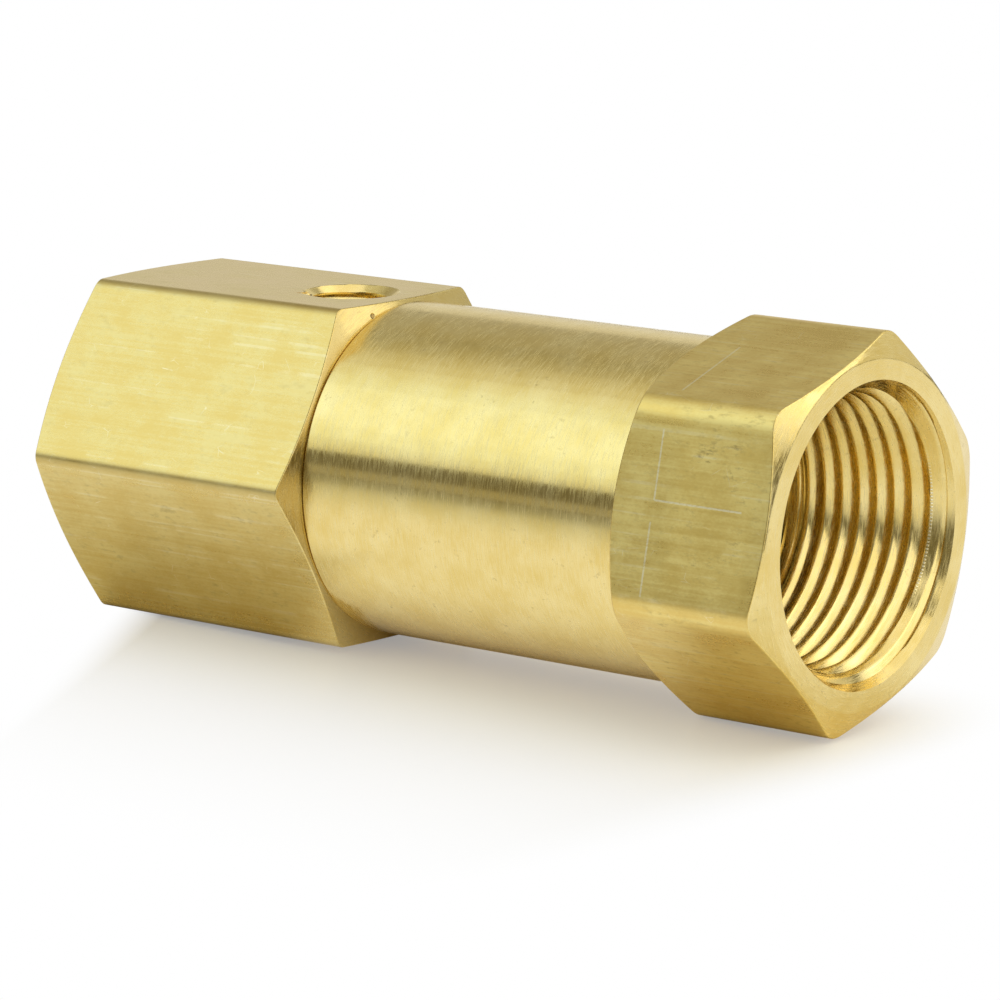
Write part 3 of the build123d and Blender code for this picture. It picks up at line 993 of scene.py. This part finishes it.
# %% Steel, rubber and plastic
def steel(material, tint, roughness):
    """Bright steel with fine drawn lines."""
    place, shader = fresh(material)
    grain = noise(material, stretched(material, place, 4000, 9000, 9000), 1.0, 1.0, 0.5)
    stain = noise(material, place, 350, 2.0, 0.5)
    dark = (tint[0] * 0.82, tint[1] * 0.81, tint[2] * 0.8, 1)
    colour = blend_colours(material, ramp(material, stain, 0.35, 0.75), tint, dark)
    rough = ramp(material, grain, 0.3, 0.7, roughness - 0.03, roughness + 0.04)
    normal = raised(material, grain, 0.0003)
    feed(material, shader, Base_Color=colour, Roughness=rough, Normal=normal)
    shader.inputs["Metallic"].default_value = 1.0


def moulded(material, tint, roughness):
    """Rubber or plastic with a slightly uneven skin."""
    place, shader = fresh(material)
    skin = noise(material, place, 2500, 2.0, 0.5)
    cloud = noise(material, place, 260, 3.0, 0.5)
    light = tuple(min(c * 1.5 + 0.01, 1) for c in tint[:3]) + (1,)
    colour = blend_colours(material, ramp(material, cloud, 0.4, 0.7), tint, light)
    rough = ramp(material, skin, 0.3, 0.7, roughness - 0.08, roughness + 0.1)
    normal = raised(material, skin, 0.006)
    feed(material, shader, Base_Color=colour, Roughness=rough, Normal=normal)


# %% [markdown]
# ### Who takes what
# These pieces keep the meshes of their solids, so it is enough to change the material in each
# of their slots.

# %% Inside finishes
steel(spring_finish, (0.52, 0.51, 0.49, 1), 0.26)
ring_finish = bpy.data.materials.new("ring_steel")
steel(ring_finish, (0.50, 0.50, 0.50, 1), 0.32)
stainless_finish = bpy.data.materials.new("stainless")
steel(stainless_finish, (0.60, 0.59, 0.57, 1), 0.28)
poppet_finish = bpy.data.materials.new("poppet_brass")
turned_brass(poppet_finish)
rubber_finish = bpy.data.materials.new("seal_rubber")
moulded(rubber_finish, (0.012, 0.012, 0.013, 1), 0.55)
bush_finish = bpy.data.materials.new("bush_plastic")
moulded(bush_finish, (0.75, 0.73, 0.66, 1), 0.45)
node_finishes = {
    "poppet": poppet_finish,
    "guide": poppet_finish,
    "seat_seal": rubber_finish,
    "body_seal_ring": rubber_finish,
    "clamp_washer": poppet_finish,
    "lock_washer": stainless_finish,
    "seal_screw": stainless_finish,
    "retaining_ring": ring_finish,
    "guide_bush": bush_finish,
}
for name, finish in node_finishes.items():
    for material_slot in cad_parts[name].material_slots:
        material_slot.material = finish
    print(name, "takes", finish.name)

# %% [markdown]
# ## Which body each piece rides on
# The two brass bodies stand for their solids and stay with the housing. The spring spans the moving
# poppet and the fixed guide; here its place is only baked into its mesh.

# %% Riding
for piece, solid, slot_name in (
    (inlet_piece, "inlet_body", "inlet_brass"),
    (outlet_piece, "outlet_body", "outlet_brass"),
    (spring_piece, "return_spring", "spring_steel"),
):
    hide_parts(solid)
    print(piece.name, "stands for", solid)
for piece in (inlet_piece, outlet_piece):
    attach(piece, "housing")
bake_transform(spring_piece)

# %% [markdown]
# ## Floor
# The valve lies on one flat of the inlet hexagon, but the outlet hexagon is turned and its
# lowest corner hangs lower. On a real table it therefore leans a little. Tilting the floor by
# that angle does the same and leaves the valve straight in its own frame.

# %% Floor
inlet_rest = Vector((-49.6, 0, -apothem)) * MM
outlet_rest = Vector((31.5, 0, -21.08)) * MM
floor_lean = math.atan2(inlet_rest.z - outlet_rest.z, outlet_rest.x - inlet_rest.x)
floor_middle = inlet_rest.lerp(outlet_rest, inlet_rest.x / (inlet_rest.x - outlet_rest.x))
bpy.ops.mesh.primitive_circle_add(
    vertices=96, radius=3.0, fill_type="NGON", location=floor_middle
)
floor = bpy.context.object
floor.name = "floor"
floor.rotation_euler = (0, floor_lean, 0)
print("the floor leans by", round(math.degrees(floor_lean), 2), "degrees")

# %% [markdown]
# ### The colour of the table
# The table is white, but close to the valve it is lit by the brass and looks warm, so it is tinted
# there. Far in front it is painted grey, a painted shade for the dimmer light there, because the front
# of the valve sees that part of the table and would look too pale over a white one. Two helpers keep
# the sums short, and one more measures how far a spot is from the valve's own length.

# %% Table colour
floor_finish = bpy.data.materials.new("white_table")
place, shader = fresh(floor_finish)
warm, white, far_painted_shade = (0.93, 0.85, 0.6, 1), (0.93, 0.93, 0.93, 1), (0.42, 0.42, 0.42, 1)


def on_floor(operation, first, second=0.0, third=0.0):
    """One step of arithmetic on the floor's values."""
    return math_node(floor_finish, operation, first, second, third)


def floor_ramp(value, low, high, start=0.0, end=1.0):
    """A soft step of the floor's values."""
    return ramp(floor_finish, value, low, high, start, end)


def distance(sideways, end_weight=1.0):
    """How far a spot is from the valve's own length, with a weight for what lies past its ends."""
    weighted = on_floor("MULTIPLY", past_end, end_weight)
    squared = on_floor("MULTIPLY", sideways, sideways)
    return on_floor("SQRT", on_floor("MULTIPLY_ADD", weighted, weighted, squared))


along, across, _ = node(floor_finish, "ShaderNodeSeparateXYZ", None, Vector=place).outputs
past_end = on_floor("SUBTRACT", on_floor("ABSOLUTE", along), 0.045)
past_end = on_floor("MAXIMUM", past_end, 0.0)
toward_front = on_floor("MAXIMUM", on_floor("MULTIPLY", across, -1.0), 0.0)
near_warm = floor_ramp(distance(across), 0.004, 0.042)
table = blend_colours(floor_finish, near_warm, warm, white)
# Painted shade: grey far in front, for the dimmer light there.
table = blend_colours(floor_finish, floor_ramp(toward_front, 0.09, 0.28), table, far_painted_shade)
feed(floor_finish, shader, Base_Color=table)
shader.inputs["Roughness"].default_value = 0.35
shader.inputs["Specular IOR Level"].default_value = 0.3
print("table from", [round(c, 2) for c in warm[:3]], "beside the valve to white")

# %% [markdown]
# ### A white floor, and a painted glow for the metal
# The background of the picture is pure white. More light on the floor would also light the valve, so
# white is mixed in for the camera's rays alone, less of it close to the valve, where its shadow has to
# stay. The shadow shows in front of the valve and hardly behind it, so a distance behind counts three
# times and white comes back sooner there. The metal also has to see a bright floor, so the floor glows
# for its reflected rays as painted light. This glow stays out right beside the valve, ends far in
# front and lets a little in under the barrel.

# %% White for the camera and a painted glow for the metal
behind = on_floor("MULTIPLY", across, 3.0)
lopsided = on_floor("MAXIMUM", behind, on_floor("MULTIPLY", across, -1.0))
leftward = on_floor("MULTIPLY_ADD", along, -0.87, on_floor("MULTIPLY", across, -0.5))
seen_fill = floor_ramp(distance(lopsided, 5.0), 0.0, 0.08, 0.30, 1.0)
seen_fill = on_floor("MAXIMUM", seen_fill, floor_ramp(leftward, 0.036, 0.046))

# Painted light: the floor glows for the metal's reflected rays, with more of it under the barrel.
barrel_start = floor_ramp(along, -0.023, -0.014)
under_barrel = on_floor("MULTIPLY", barrel_start, floor_ramp(along, 0.036, 0.024))
metal_near = distance(across, 0.4)
painted_glow_under_barrel = floor_ramp(metal_near, 0.0, 0.025, 0.0, 0.95)
painted_glow_under_barrel = on_floor("MULTIPLY", under_barrel, painted_glow_under_barrel)
painted_glow_for_metal = on_floor("MAXIMUM", floor_ramp(metal_near, 0.018, 0.032), painted_glow_under_barrel)
front_end = floor_ramp(toward_front, 0.042, 0.105, 1.0, 0.0)
painted_glow_for_metal = on_floor("MULTIPLY", painted_glow_for_metal, front_end)

# The camera's white is the backdrop. The glow for reflected rays is painted light.
rays = node(floor_finish, "ShaderNodeLightPath")
backdrop_and_painted_glow = on_floor("MULTIPLY", rays.outputs["Is Camera Ray"], seen_fill)
backdrop_and_painted_glow = on_floor("MULTIPLY_ADD", rays.outputs["Is Glossy Ray"], painted_glow_for_metal, backdrop_and_painted_glow)
glow = node(floor_finish, "ShaderNodeEmission", None, Color=(1, 1, 1, 1), Strength=1.0)
mixed = node(floor_finish, "ShaderNodeMixShader", None, Fac=backdrop_and_painted_glow)
floor_finish.node_tree.links.new(shader.outputs[0], mixed.inputs[1])
floor_finish.node_tree.links.new(glow.outputs[0], mixed.inputs[2])
end = [n for n in floor_finish.node_tree.nodes if n.type == "OUTPUT_MATERIAL"][0]
feed(floor_finish, end, Surface=mixed.outputs[0])
floor.data.materials.append(floor_finish)
print("the floor's finish has", len(floor_finish.node_tree.nodes), "nodes")

# %% [markdown]
# ## Light
# Brass shows the room. The barrel's picture is the room seen around a cylinder: a pale wall
# behind, little from straight above, then a long soft box in front that fades in upward and
# out again, and below it a dark gap before the floor, which is the dark stripe. One large lamp
# has hard ends, so the front box is a row of narrow strips, each with its own level. The
# helpers place a lamp by its edges' angles, because that is how its picture lands on the metal.

# %% Lamps by their edges
def soft_box(name, spot, rotation, width, height, level, colour=(1, 1, 1)):
    """An area lamp that shines at a level, where 1 is white."""
    lamp_data = bpy.data.lights.new(name, "AREA")
    lamp_data.shape = "RECTANGLE"
    lamp_data.size = width
    lamp_data.size_y = height
    lamp_data.energy = level * math.pi * width * height
    lamp_data.color = colour
    lamp = bpy.data.objects.new(name, lamp_data)
    bpy.context.scene.collection.objects.link(lamp)
    lamp.location = spot
    lamp.rotation_euler = rotation
    return lamp


def long_box(name, start_turn, end_turn, out, x_span, level, colour=(1, 1, 1)):
    """A soft box whose long edges lie along the valve. The turns are angles from +Y up over it."""
    edges = [
        Vector((0, out * math.cos(math.radians(turn)), out * math.sin(math.radians(turn))))
        for turn in (start_turn, end_turn)
    ]
    middle = (edges[0] + edges[1]) / 2
    middle.x = sum(x_span) / 2
    facing = math.radians((start_turn + end_turn) / 2) - math.pi / 2
    tall = (edges[1] - edges[0]).length
    return soft_box(name, middle, (facing, 0, 0), x_span[1] - x_span[0], tall, level, colour)


def facing_box(name, compass, low, high, out, width, level, colour=(1, 1, 1)):
    """A soft box that faces the valve, with its compass angle from +X toward +Y
    and the heights of its two edges, all in degrees."""
    compass, middle = math.radians(compass), math.radians((low + high) / 2)
    flat = math.cos(middle)
    spot = Vector((flat * math.cos(compass), flat * math.sin(compass), math.sin(middle)))
    tall = 2 * out * math.tan(math.radians((high - low) / 2))
    rotation = (-spot).to_track_quat("-Z", "Y").to_euler()
    return soft_box(name, spot * out, rotation, width, tall, level, colour)


# %% [markdown]
# ### The front strips
# Each row holds where a strip starts and ends, in degrees over the valve, and its level. The
# weak strips are warm and the strong ones slightly cool, as the middle of the picture's
# highlight is nearly white and its fading edge is golden.

# %% Front strips
front_strips = (
    (68, 76, 0.25), (76, 84, 0.33), (84, 92, 0.5), (92, 100, 0.68),
    (100, 108, 0.89), (108, 118, 1.1), (118, 128, 1.26), (128, 137, 1.32),
    (137, 146, 1.32), (146, 155, 1.22), (155, 160, 1.0), (160, 163.8, 0.8),
)
front_x_span = (-1.4, -0.25)
front_distance = 0.8
weak_light, strong_light = (1.0, 0.98, 0.84), (0.8, 0.92, 1.0)
for start, end, level in front_strips:
    share = min(max((level - 0.4) / 0.7, 0), 1)
    colour = tuple(weak + (strong - weak) * share for weak, strong in zip(weak_light, strong_light))
    name = "front_strip_" + str(start)
    long_box(name, start, end, front_distance, front_x_span, level, colour)
print(len(front_strips), "front strips from", front_strips[0][0], "to", front_strips[-1][1])

# %% [markdown]
# ### The rest of the room
# A low strip in front softens the end of the dark stripe. Two long boxes behind are the pale
# wall, which the far side of the metal and the outlet's face see. The overhead and the right
# box light the outlet's end, and a weak warm world fills what is left.

# %% Walls and world
long_box("front_wall", 174, 179.5, front_distance, front_x_span, 0.26, (1.0, 0.97, 0.84))
long_box("back_low_box", 3, 30, 1.3, (-2.2, 2.0), 0.6, (1.0, 0.98, 0.88))
long_box("back_high_box", 30, 67, 1.3, (-2.2, 0.2), 0.26, (1.0, 0.97, 0.85))
long_box("overhead_box", 45, 115, 0.9, (-0.25, 0.6), 1.0)
facing_box("right_box", 0, 8.5, 60, 0.95, 2.0, 1.2)

world = bpy.data.worlds.new("studio")
bpy.context.scene.world = world
world.use_nodes = True
world.node_tree.nodes.clear()
end = node(world, "ShaderNodeOutputWorld")
seen = node(world, "ShaderNodeLightPath")
around = node(world, "ShaderNodeBackground", None, Color=(1.0, 0.95, 0.78, 1), Strength=0.19)
white = node(world, "ShaderNodeBackground", None, Color=(1, 1, 1, 1), Strength=1.0)
choice = node(world, "ShaderNodeMixShader", None, Fac=seen.outputs["Is Camera Ray"])
world.node_tree.links.new(around.outputs[0], choice.inputs[1])
world.node_tree.links.new(white.outputs[0], choice.inputs[2])
feed(world, end, Surface=choice.outputs[0])
print("lamps", len(bpy.data.lights), "in a warm room")

# %% [markdown]
# ## Finish
# The view layer is brought up to date once more.

# %% Finish
bpy.context.view_layer.update()
